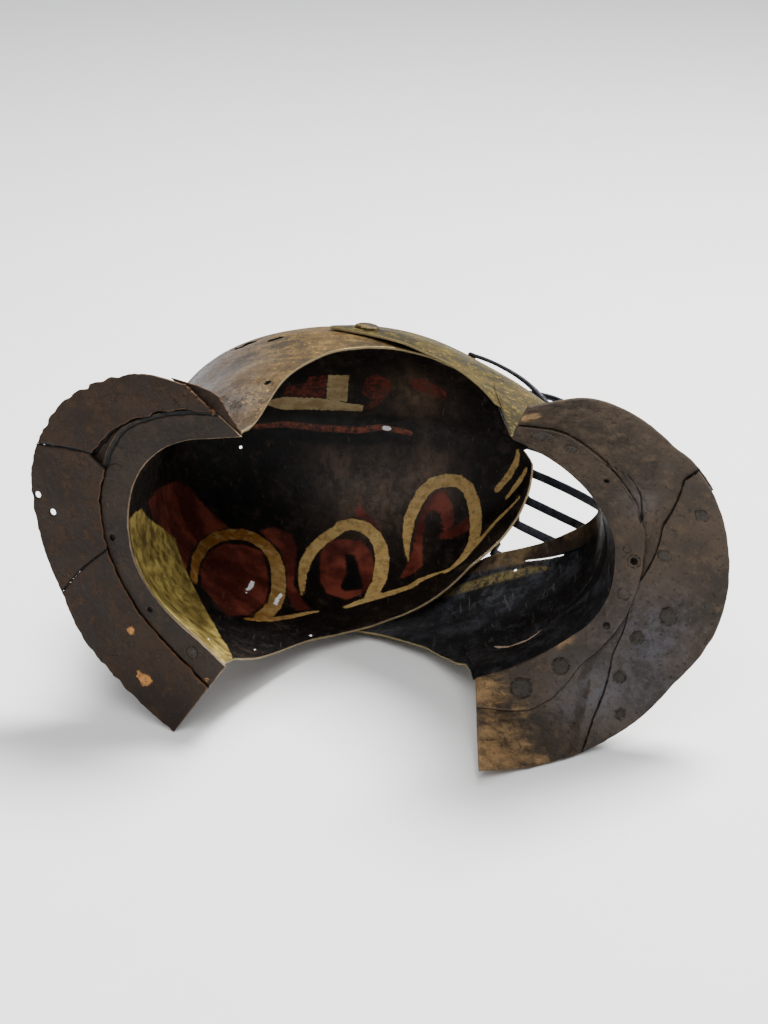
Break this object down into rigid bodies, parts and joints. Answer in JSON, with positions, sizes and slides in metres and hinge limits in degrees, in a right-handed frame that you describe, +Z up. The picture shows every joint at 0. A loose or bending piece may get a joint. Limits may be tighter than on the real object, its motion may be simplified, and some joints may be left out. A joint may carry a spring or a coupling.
{
  "type": "tournament helmet",
  "caption": "Great barred tournament helmet of riveted iron plate, lying on its left side, with wide chest and nape collars and an open neck.",
  "frame": {"origin": "centre of the bounding box's footprint on the floor the helmet lies on", "axes": "+X the way the face points, +Y the way the crown points, +Z up out of the right side, in the pose of the picture"},
  "size_m": [0.5078, 0.3934, 0.2778],
  "materials": {
    "skull": "golden brown patina outside, worn black, ochre and red paint inside",
    "front_plate": "golden green patina outside, worn black paint inside",
    "chest_band": "brown patinated iron",
    "chest_plates": "grey brown patinated iron with rust stains",
    "nape_band": "grey brown patinated iron",
    "nape_plates": "dark reddish brown patinated iron",
    "rivets": "worn iron",
    "face_bars": "dark blue grey iron"
  },
  "bodies": {
    "root": {"skull": "skull", "front_plate": "front_plate", "chest_band": "chest_band", "chest_side_plate": "chest_plates", "chest_upper_plate": "chest_plates", "chest_lower_plate": "chest_plates", "nape_band": "nape_band", "nape_upper_plate": "nape_plates", "nape_backing": "nape_plates", "nape_middle_plate": "nape_plates", "nape_lower_plate": "nape_plates", "chest_band_rivet_1": "rivets", "chest_band_rivet_2": "rivets", "chest_band_rivet_3": "rivets", "chest_band_rivet_4": "rivets", "chest_seam_rivet_1": "rivets", "chest_seam_rivet_2": "rivets", "chest_seam_rivet_3": "rivets", "chest_seam_rivet_4": "rivets", "chest_side_rivet_1": "rivets", "chest_side_rivet_2": "rivets", "nape_band_rivet": "rivets", "pivot_rivet_right": "rivets", "pivot_rivet_left": "rivets", "face_bar_1": "face_bars", "face_bar_2": "face_bars", "face_bar_3": "face_bars", "face_bar_4": "face_bars", "face_bar_5": "face_bars", "face_bar_6": "face_bars", "face_bar_7": "face_bars", "face_bar_8": "face_bars", "face_bar_9": "face_bars", "face_bar_10": "face_bars"}
  },
  "joints": []
}
